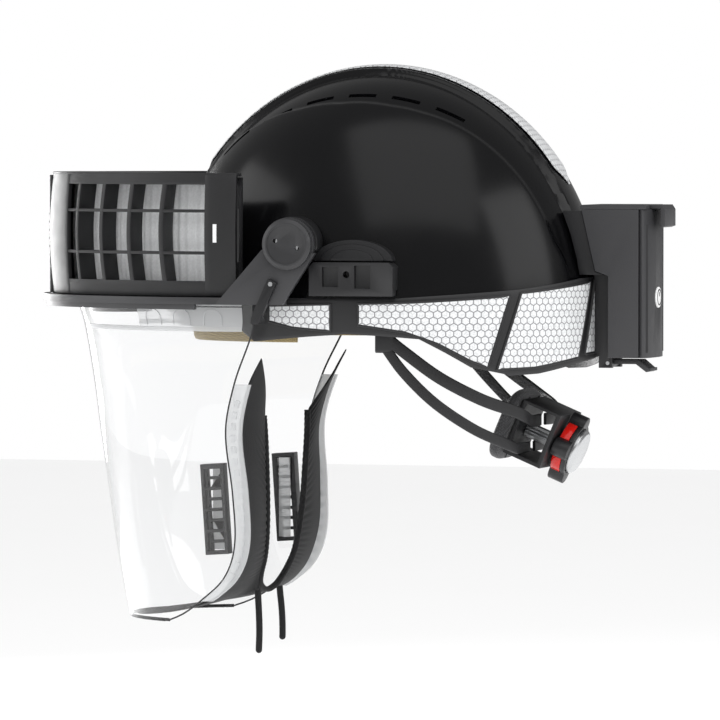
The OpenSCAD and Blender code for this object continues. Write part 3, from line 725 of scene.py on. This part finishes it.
def reflectors():
    shape = Builder()
    for side in (-1, 1):
        for window in WINDOWS:
            rows, uvs = [], []
            for u in spread(0, 1, 40):
                rows.append([window_point(window, u, v, 0.55, side) for v in spread(0, 1, 12)])
                uvs.append([(math.atan2(p.y / BAND_Y, side * p.x / BAND_X) * FILM_RADIUS, p.z * MM)
                            for p in rows[-1]])
            shape.grid(rows, uvs, flip=side < 0)
    film = shape.object("band_film")
    modified(film, "SOLIDIFY", thickness=0.4 * MM, offset=-1.0)
    settle(film, "reflective", "helmet", "reflectors")


def side_badges():
    """Half-round relief above each bracket: plain concentric steps instead of a mark."""
    shape = Builder()
    for side in (-1, 1):
        since = len(shape.points)
        for scale, out in ((1.0, 107.4), (0.8, 108.4), (0.55, 109.2)):
            outline = [(10 + 27 * scale * math.cos(t), 34.6 + 14 * scale * math.sin(t))
                       for t in map(math.radians, range(0, 181, 6))]
            shape.prism(outline, 92, out)
        shape.on_side(side, since)
    badge = shape.object("badge_relief")
    fixed_normals(badge)
    bevelled(badge, 0.7)
    settle(badge, "trim_black", "helmet", "side_badges")


# ---- Front unit ----


def cowl_point(angle, z, depth):
    """A point in the cowl: angle from its rear end towards the nose, height, depth behind the bowed front."""
    middle, half = (COWL_LOW + COWL_HIGH) / 2, (COWL_HIGH - COWL_LOW) / 2
    bow = -2.2 * ((z - middle) / half) ** 2
    a = math.radians(angle)
    x, y = COWL_X * math.cos(a), -COWL_Y * math.sin(a)
    normal = Vector((x / COWL_X ** 2, y / COWL_Y ** 2, 0)).normalized()
    return Vector((x, y + COWL_CENTRE, z)) + normal * (bow - depth)


def curved_block(shape, angles, heights, depths, steps):
    """A solid between two angles, heights and depths of the cowl."""
    na, nz = steps
    (a1, a2), (z1, z2), (d1, d2) = angles, heights, depths
    ring = ([(z, d1) for z in spread(z1, z2, nz)] + [(z, d2) for z in spread(z2, z1, nz)])
    shape.loft([[cowl_point(a, z, d) for z, d in ring] for a in spread(a1, a2, na)])


def bowed_rib(shape, edge, low, high):
    """A deep rib between two columns, bowed a little to the front at mid height."""
    rows = []
    for z in spread(low, high, 16):
        share = (z - low) / (high - low)
        bow = 0.9 * math.sin(math.pi * share)
        rows.append([cowl_point(edge + bow - 1.3, z, 0.4), cowl_point(edge + bow, z, 0.4),
                     cowl_point(edge + bow, z, RIB_DEPTH), cowl_point(edge + bow - 1.3, z, RIB_DEPTH)])
    shape.loft(rows)


def inner_oval(angle, grow):
    a = math.radians(angle)
    return Vector(((108 + grow) * math.cos(a), -(126 + grow) * math.sin(a) - 30, 0))


def filter_cover(side, name, body):
    shape = Builder()
    nose_angle = math.degrees(math.acos((NOSE_HALF + 1.6) / COWL_X))
    last = CELL_EDGES[-1] - 1.3
    inside = (CELL_EDGES[0] - 0.3, last + 0.3)
    bottom, top = CELL_ROWS[0][0], CELL_ROWS[2][1]
    curved_block(shape, (0.4, nose_angle), (84.3, 91.2), (0.2, 3.0), (40, 4))
    curved_block(shape, (0.4, nose_angle), (11.2, 21.2), (0.2, 3.0), (40, 4))
    curved_block(shape, (0.4, CELL_EDGES[0]), (11.5, 91), (0, 2.8), (6, 14))
    curved_block(shape, (last, nose_angle), (11.5, 91), (0, 2.8), (14, 14))
    for row_low, row_high in zip(CELL_ROWS, CELL_ROWS[1:]):
        curved_block(shape, inside, (row_low[1], row_high[0]), (0.5, 11), (40, 3))
    curved_block(shape, inside, (bottom - 2, bottom), (0.9, 11), (40, 3))
    curved_block(shape, inside, (top, top + 2), (0.9, 11), (40, 3))
    for edge in CELL_EDGES[1:-1]:
        bowed_rib(shape, edge, bottom - 1.5, top + 1.5)
    lid = []
    for angle in spread(0.4, nose_angle, 40):
        outer = cowl_point(angle, 91.2, 0.4)
        inner = inner_oval(angle, 3)
        if inner.y > COWL_CENTRE:
            inner = Vector((111 * math.sqrt(1 - ((COWL_CENTRE + 30) / 129) ** 2), COWL_CENTRE, 0))
        x = max(inner.x, NOSE_HALF + 1.6)
        y = -30 - 129 * math.sqrt(1 - (x / 111) ** 2)
        inner = Vector((x, min(y, COWL_CENTRE), 0))
        ring = [Vector((outer.x, outer.y, z)) * (1 - s) + Vector((inner.x, inner.y, z)) * s
                for z, shares in ((89.8, spread(0, 1, 5)), (91.9, spread(1, 0, 5))) for s in shares]
        lid.append(ring)
    shape.loft(lid, flip=True)
    recess = [(113.3 + 1.2 * math.cos(t), -66.5 + 0.8 * math.cos(t), 51 + 18 * math.sin(t))
              for t in spread(-1.3, 1.3, 9)]
    shape.sweep(recess, rounded_section(1.6, 1.2, 0.4), up=(1, 0, 0))
    hinge_y = COWL_CENTRE - COWL_Y * math.sqrt(1 - (33 / COWL_X) ** 2) + 2.4
    since = len(shape.points)
    shape.lathe([(2.2, 11.2), (2.35, 11.6), (2.35, 89.5), (2.2, 89.9)], 20)
    shape.moved(lambda p: p + Vector((33, hinge_y, 0)), since)
    shape.on_side(side)
    cover = shape.object(name + "_grille")
    fixed_normals(cover)
    bevelled(cover, 0.45, 2, 40)
    settle(cover, "cover_grey", body, name)


def cover_slot(side, tail):
    """Small slot in the rear frame of a filter cover, with the pale filter behind it."""
    shape = Builder()
    path = [cowl_point(5.4, z, 0.0) for z in (46.5, 52.5, 58.5)]
    shape.sweep(path, rounded_section(0.5, 2.6, 0.2), up=(0, 1, 0))
    shape.on_side(side)
    settle(shape.object("cover_slot_" + tail), "filter_media", "cover_" + tail, angle=50)


def nose_cover():
    shape = Builder()
    a = math.degrees(math.acos(NOSE_HALF / COWL_X))
    curved_block(shape, (a, 180 - a), (11.2, 91.4), (0, 2.4), (30, 16))
    rows = []
    for x in spread(-NOSE_HALF, NOSE_HALF, 24):
        outer = cowl_point(math.degrees(math.acos(x / COWL_X)), 91.4, 0.3)
        y = -30 - 127 * math.sqrt(1 - (x / 109) ** 2)
        rows.append([Vector((x, outer.y * (1 - s) + y * s, z))
                     for z, shares in ((89.7, spread(0, 1, 6)), (92, spread(1, 0, 6))) for s in shares])
    shape.loft(rows)
    for z in spread(30, 74, 9):
        curved_block(shape, (a + 3, 177 - a), (z, z + 1.6), (-0.7, 1.5), (24, 2))
    nose = shape.object("nose_moulding")
    fixed_normals(nose)
    bevelled(nose, 0.5, 2, 40)
    settle(nose, "cover_grey", "front_unit", "nose_cover")


def filter_element(side, name):
    """A pleated element: soft folds of white media in a dark rim."""
    shape = Builder()
    first, last = 4.5, 70
    z1, z2 = 14.2, 84.6
    rows = []
    steps = 330
    for k in range(steps + 1):
        angle = first + (last - first) * k / steps
        fold = 0.55 * math.sin(2 * math.pi * k / 11)
        face = [cowl_point(angle, z, 15.2 + fold) for z in spread(z1, z2, 8)]
        back = []
        for z in spread(z2, z1, 4):
            inner = inner_oval(angle, 3.4)
            inner.x = max(inner.x, 29.6)
            back.append(Vector((inner.x, min(inner.y, -71), z)))
        rows.append(face + back)
    shape.loft(rows)
    shape.on_side(side)
    settle(shape.object(name + "_media"), "filter_media", "front_unit", name, angle=70)


# ---- Visor ----


def lens_row(share):
    """Half width, front and sweep at a height, smoothly through the rows."""
    table = LENS_ROWS
    for k in range(len(table) - 1):
        if share >= table[k + 1][0]:
            break
    p0, p1, p2, p3 = (table[min(max(k + d, 0), len(table) - 1)] for d in (-1, 0, 1, 2))
    t = (share - p1[0]) / (p2[0] - p1[0])
    out = []
    for c in (1, 2, 3):
        m1 = (p2[c] - p0[c]) / (p2[0] - p0[0]) * (p2[0] - p1[0])
        m2 = (p3[c] - p1[c]) / (p3[0] - p1[0]) * (p2[0] - p1[0])
        out.append((2 * t ** 3 - 3 * t * t + 1) * p1[c] + (t ** 3 - 2 * t * t + t) * m1
                   + (3 * t * t - 2 * t ** 3) * p2[c] + (t ** 3 - t * t) * m2)
    return out


def lens_point(share, sweep, depth, extra=0.0):
    """sweep runs from -1 at one rear edge to 1 at the other; extra is degrees past the edge."""
    half, front, limit = lens_row(share)
    angle = math.radians(sweep * limit + (extra if sweep > 0 else -extra))
    deep = LENS_Y - front - depth
    return Vector(((half - depth) * math.sin(angle), LENS_Y - deep * math.cos(angle),
                   LENS_TOP + share * LENS_HIGH))


LENS_SHARES = [-1.0 * k / 60 for k in range(57)] + [-0.945, -0.955, -0.965, -0.975, -0.984, -0.992, -1.0]


def visor_lens():
    shape = Builder()
    shape.grid([[lens_point(s, w, 0) for w in spread(-1, 1, 81)] for s in LENS_SHARES])
    lens = shape.object("lens_sheet")
    fixed_normals(lens)
    modified(lens, "SOLIDIFY", thickness=1.5 * MM, offset=-1.0)
    settle(lens, "clear_lens", "front_unit", "visor_lens", angle=50)


def visor_frame():
    """Translucent strips along the lens's rear edges, with a row of moulded slots."""
    shape = Builder()
    for side in (-1, 1):
        rows = []
        for share in spread(-0.25, -0.93, 70):
            width = 5.2 * min(1.0, (share + 0.96) / 0.05 + 0.3)
            ring = [(0.3, 0.3), (0.3, -0.1), (width * 0.5, -0.35), (width, 0.1), (width, 2.2), (0.3, 2.4)]
            rows.append([lens_point(share, side, depth + 0.4, extra) for extra, depth in ring])
        shape.loft(rows)
        for k in range(16):
            share = -0.3 - 0.036 * k
            path = [lens_point(share - d, side, -0.1, 2.6) for d in (0, 0.02)]
            shape.sweep(path, rounded_section(3.4, 0.9, 0.3), up=(side, 0, 0))
    strip = shape.object("edge_strip")
    fixed_normals(strip)
    settle(strip, "frosted_strip", "front_unit", "visor_frame", angle=40)


def lens_border():
    """Dark bead along the lens's rear edges, and its moulded bottom rim."""
    shape = Builder()
    for side in (-1, 1):
        path = [lens_point(share, side, 0.6, 0.2) for share in spread(-0.06, -0.995, 90)]
        shape.sweep(path, circle_section(0.55, 10), up=(side, 0, 0.001))
    rim = [lens_point(-0.994, w, 0.7) for w in spread(-1, 1, 61)]
    shape.sweep(rim, rounded_section(1.3, 2.2, 0.5), up=(0, 0, 1))
    settle(shape.object("lens_bead"), "trim_black", "front_unit", angle=60)


def lens_flange():
    """Translucent top of the lens: a border line, and D-shaped tabs that hold it to the plate."""
    shape = Builder()
    for side in (-1, 1):
        for share, high in ((-0.078, 3.0), (-0.002, 1.6)):
            path = [lens_point(share, side * w, -0.3) for w in spread(0.3, 0.97, 40)]
            shape.sweep(path, rounded_section(0.7, high, 0.25), up=(0, 0, 1))
        rows = [[lens_point(share, side * w, -0.25) for share in spread(-0.01, -0.074, 6)]
                for w in spread(0.62, 0.97, 30)]
        shape.grid(rows)
        for w in (0.68, 0.78, 0.88):
            tab = [lens_point(-0.066 + 0.05 * max(0.0, math.sin(t)) ** 0.5,
                              side * (w + 0.028 * math.cos(t)), -0.6) for t in spread(0, math.pi, 15)]
            shape.sweep(tab, rounded_section(0.5, 0.8, 0.15), up=(side, 0, 0.001))
    settle(shape.object("lens_top"), "frosted_strip", "front_unit", angle=50)


# ---- Face seal and cords ----

SEAL_PATH = [((95, -56, -29), (50, -69, -68)), ((93, -67, -50), (48, -69, -84)),
             ((88.7, -74, -80), (45, -69.5, -104)), ((85.7, -72.5, -112), (42, -70, -126)),
             ((83.5, -72, -145), (38, -71.5, -148)), ((82, -77, -167), (35, -74, -164)),
             ((80.5, -85, -181), (31, -78, -175)), ((77.5, -98, -191), (25, -81, -182)),
             ((70, -122, -198), (18, -82.5, -185.5)), ((52, -147, -202), (12, -83.5, -187)),
             ((27, -165.5, -204), (6, -84, -188)), ((0, -171, -204.5), (0, -84.5, -188.5))]


def seal_stations():
    outer = [Vector(a) for a, _ in SEAL_PATH]
    hem = [Vector(b) for _, b in SEAL_PATH]
    outer += mirrored(outer[-2::-1])
    hem += mirrored(hem[-2::-1])
    return smooth_path(outer, 16), smooth_path(hem, 16)


def face_seal():
    outer, hem = seal_stations()
    shape = Builder()
    rows = []
    count = len(outer)
    for i, (a, b) in enumerate(zip(outer, hem)):
        along = (hem[min(i + 1, count - 1)] - hem[max(i - 1, 0)]).normalized()
        normal = along.cross((b - a).normalized()).normalized()
        row = []
        for s in spread(0, 1, 14):
            belly = math.sin(math.pi * s) * 1.6
            gather = 0.75 * s * s * math.sin(i * 1.9 + 0.7 * math.sin(i * 0.37)) * smoothstep(0.3, 1.0, s)
            row.append(a + (b - a) * s + normal * (belly + gather))
        rows.append(row)
    shape.grid(rows)
    seal = shape.object("seal_fabric_panel")
    modified(seal, "SOLIDIFY", thickness=1.2 * MM, offset=0.0)
    modified(seal, "SUBSURF", levels=1, render_levels=1)
    settle(seal, "seal_fabric", "front_unit", "face_seal", angle=80)


def seal_hem():
    outer, hem = seal_stations()
    shape = Builder()
    path = [b + (b - a).normalized() * 2.2 for a, b in zip(outer, hem)]
    scale = [1 + 0.07 * math.sin(i * 1.9) for i in range(len(path))]
    shape.sweep(path, rounded_section(3.2, 4.2, 1.3, 4), up=(0, 1, 0.001), scale=scale)
    settle(shape.object("hem_tape"), "hem_elastic", "front_unit", "seal_hem", angle=60)


def cord_tail(route, name):
    """A braided tail with a dipped, rounded end."""
    shape = Builder()
    path = smooth_path([Vector(p) / MM for p in route], 7)
    total = len(path)
    radius = CORD_D / 2
    scale = []
    for i in range(total):
        left = (path[-1] - path[i]).length
        scale.append(max(0.12, math.sqrt(max(0.0, 1 - max(0.0, 1 - left / radius) ** 2))))
    shape.sweep(path, circle_section(radius, 16), up=(0, 1, 0), scale=scale)
    tail = settle(shape.object(name + "_braid"), "cord_black", "front_unit", name, angle=60)


# ---- Harness ----


def oval_path(rx, ry, cy, z, start, stop, count):
    return [(rx * math.cos(a), cy + ry * math.sin(a), z)
            for a in spread(math.radians(start), math.radians(stop), count)]


def headband():
    shape = Builder()
    end = math.degrees(math.asin(80 / 104))
    shape.sweep(oval_path(81, 103, -30, 7, end, -180 - end, 120), rounded_section(2, 30, 0.9, 3))
    for k in range(14):
        for side in (-1, 1):
            a = math.radians(4 + 2.4 * k)
            shape.box(*[(side * 82.2 * math.cos(a) + d, -30 + 104.2 * math.sin(a) + d, 4 + 3 * s)
                        for d, s in ((-0.7, 0), (0.7, 1))])
    band = shape.object("headband_moulding")
    settle(band, "strap_plastic", "helmet", "headband")


def brow_pad():
    shape = Builder()
    rows = []
    steps = 89
    for i, a in enumerate(spread(math.radians(-4), math.radians(-176), steps + 1)):
        thick = 5.2 * min(1.0, 6 * min(i, steps - i) / steps + 0.25)
        ring = []
        for k in range(20):
            t = 2 * math.pi * k / 20
            across = math.copysign(abs(math.cos(t)) ** 0.8, math.cos(t)) * thick / 2
            up = math.copysign(abs(math.sin(t)) ** 0.55, math.sin(t)) * 18.6
            r = -3 - 2.4 + across
            ring.append(((82.3 + r) * math.cos(a), -30 + (104.3 + r) * math.sin(a), -1 + up))
        rows.append(ring)
    shape.loft(rows)
    pad = settle(shape.object("brow_cushion"), "brow_foam", "helmet", "brow_pad", angle=70)


def crown_straps():
    shape = Builder()
    for rx, turn in ((95.2, 0), (136.2, 1)):
        path = []
        for a in spread(math.radians(0.6), math.radians(179.4), 80):
            x, z = rx * math.cos(a), 143.2 * math.sin(a) - 0.9 * turn
            path.append((0, x, z) if turn else (x, -8, z))
        shape.sweep(path, rounded_section(20, 1.4, 0.6, 2), up=(1, 0, 0) if turn else (0, 1, 0))
    settle(shape.object("strap_webbing"), "webbing", "helmet", "crown_straps")


def cushion(shape, half_x, half_y, half_z, power, steps=28):
    """A crowned closed form about the origin."""
    rows = []
    for i in range(1, steps):
        lat = math.pi * (i / steps - 0.5)
        row = []
        for j in range(steps * 2):
            lon = math.pi * j / steps
            c = [math.cos(lat) * math.cos(lon), math.cos(lat) * math.sin(lon), math.sin(lat)]
            norm = sum(abs(v) ** power for v in c) ** (1 / power)
            row.append((half_x * c[0] / norm, half_y * c[1] / norm, half_z * c[2] / norm))
        rows.append(row)
    base = shape.grid(rows, closed=True)
    shape.cap(base, steps * 2, flip=True)
    shape.cap(base + (steps - 2) * steps * 2, steps * 2)


def crown_pad():
    """A round pad that follows the crown, with a stitched ring and a crowned underside."""
    shape = Builder()
    rows = []
    for k in spread(0, 2 * math.pi, 73)[:-1]:
        row = []
        for r in (3, 10, 18, 24, 28, 29.7, 29.7, 28, 24, 21, 18, 10, 3):
            x, y = r * math.cos(k), -8 + r * math.sin(k)
            row.append((x, y, r))
        profile = []
        for i, (x, y, r) in enumerate(row):
            rim = smoothstep(30, 22, r)
            under = i > 5
            rx, ry, rz = (91.4, 132.4, 139.4) if under else (91.6, 132.6, 139.6)
            z = rz * math.sqrt(1 - (x / rx) ** 2 - (y / ry) ** 2)
            z += rim * (-1.5 if under else 1.5) + (0.7 if i == 9 else 0)
            profile.append(Vector((x, y, z)))
        rows.append(profile)
    rows.append(rows[0])
    shape.grid(rows)
    for i, flip in ((0, False), (12, True)):
        base = shape.grid([[row[i] for row in rows[:-1]]])
        shape.cap(base, len(rows) - 1, flip)
    pad = shape.object("crown_cushion")
    fixed_normals(pad)
    settle(pad, "webbing", "helmet", "crown_pad", angle=60)


# Prongs of a nape arm, upper and lower, from the headband's side to the rear
UPPER_PRONG = [(84, 24, -14), (85, 40, -26), (81, 62, -42), (68, 86, -56), (50, 103, -64), (40, 108.2, -68),
               (26, 109, -71.4), (6, 109, -71.4)]
LOWER_PRONG = [(84, 24, -20), (85, 38, -38), (81, 58, -58), (68, 80, -75), (50, 96, -85), (40, 101, -88.6),
               (34, 101.4, -89.4), (6, 101.4, -89.4)]


def nape_arm(side, name):
    shape = Builder()
    for route, high in ((UPPER_PRONG, 8), (LOWER_PRONG, 7)):
        shape.sweep(smooth_path(route, 8), rounded_section(2, high, 0.8, 3))
    shape.sweep([(82, 19, -17), (82, 31, -17)], rounded_section(7.6, 17.4, 2, 4))
    shape.on_side(side)
    settle(shape.object(name + "_strap"), "strap_plastic", "helmet", name)


def tilted(point):
    """From the ratchet's own frame, +Z along the knob's axis, to the row's."""
    c, s = math.sin(KNOB_TILT), math.cos(KNOB_TILT)
    return KNOB_CENTRE + Vector((point.x, -c * point.y + s * point.z, -s * point.y - c * point.z))


def nape_pad():
    shape = Builder()
    cushion(shape, 33.6, 24.6, 5.6, 3.4)
    for side in (-1, 1):
        path = [(side * 11.5, y, 5.3) for y in spread(-22, 22, 12)]
        shape.sweep(path, circle_section(0.5, 8), up=(0, 0, 1))
    shape.moved(lambda p: tilted(p + Vector((0, 0, -40))))
    pad = settle(shape.object("nape_cushion"), "pad_grey", "nape", "nape_pad", angle=60)


# ---- Battery ----


def battery_grooves():
    """Dark groove down each side of the rear cover."""
    shape = Builder()
    for side in (-1, 1):
        x = side * GROOVE_X
        y = PACK_REAR + 0.3 + 6.7 * math.sin(math.acos(GROOVE_X / 27))
        shape.sweep([(x, y, -26), (x, y, 58)], rounded_section(2.2, 0.5, 0.2), up=(side * 0.5, 0.87, 0))
    settle(shape.object("cover_grooves"), "trim_black", "battery", angle=50)


def power_mark():
    """Plain ring and bar on the button: no lettering."""
    shape = Builder()
    ring = [(5.0 * math.cos(a), 5.0 * math.sin(a), 0) for a in spread(0, 2 * math.pi, 49)[:-1]]
    shape.sweep(ring, rounded_section(0.8, 0.3, 0.1, 1), closed_path=True)
    shape.sweep([(0, 0.6, 0), (0, 3.2, 0)], rounded_section(0.8, 0.3, 0.1, 1))
    shape.moved(lambda p: Vector((-p.x, PACK_REAR + 7.7 + p.z, 10 + p.y)))
    settle(shape.object("button_ring"), "trim_black", "button")


# ---- The whole object ----

camera()
studio()
MATERIALS = palette()

helmet_shell()
crown_stripe()
rim_band()
reflectors()
side_badges()
for side, tail in ((1, "left"), (-1, "right")):
    filter_cover(side, "filter_cover_" + tail, "cover_" + tail)
    filter_element(side, "filter_" + tail)
    cover_slot(side, tail)
    rounded_copy("exhale_vent_" + tail, "trim_black", "front_unit", 0.4)
    nape_arm(side, "nape_arm_" + tail)
    rounded_copy("accessory_bracket_" + tail, "band_grey", "helmet", 0.8)
    rounded_copy("pivot_cap_" + tail, "carrier_grey", "front_unit", 0.4)
    rounded_copy("visor_latch_" + tail, "trim_black", "latch_" + tail, 0.9, 3)
nose_cover()
visor_lens()
visor_frame()
lens_border()
lens_flange()
face_seal()
seal_hem()
cord_tail(LEFT_ROUTE, "cord_tail_left")
cord_tail(RIGHT_ROUTE, "cord_tail_right")
headband()
brow_pad()
crown_straps()
crown_pad()
nape_pad()
battery_grooves()
power_mark()
for node, slot, body, width in (
        ("battery_case", "battery_grey", "battery", 1.8), ("battery_cover", "battery_grey", "battery", 1.2),
        ("battery_lid", "battery_grey", "battery", 0.7), ("battery_carrier", "trim_black", "helmet", 1.0),
        ("battery_release", "battery_grey", "release_lever", 1.0), ("battery_clip", "battery_grey", "clip", 0.7),
        ("power_button", "button_white", "button", 0.8), ("ratchet_housing", "strap_plastic", "nape", 1.6),
        ("visor_carrier", "carrier_grey", "front_unit", 0.8), ("pivot_mounts", "trim_black", "helmet", 0.8),
        ("ratchet_knob", "trim_black", "knob", 1.2), ("knob_inserts", "insert_red", "knob", 0.4),
        ("knob_cap", "steel", "knob", 0.5), ("air_outlet", "cover_grey", "front_unit", 0.3),
        ("strap_anchors", "band_grey", "helmet", 0.8)):
    rounded_copy(node, slot, body, width)
for record_part in frame["record"]["subparts"]:
    cad = frame["nodes"][record_part["node"]]
    cad.data.materials.clear()
    cad.data.materials.append(MATERIALS[record_part["material_slot"]])
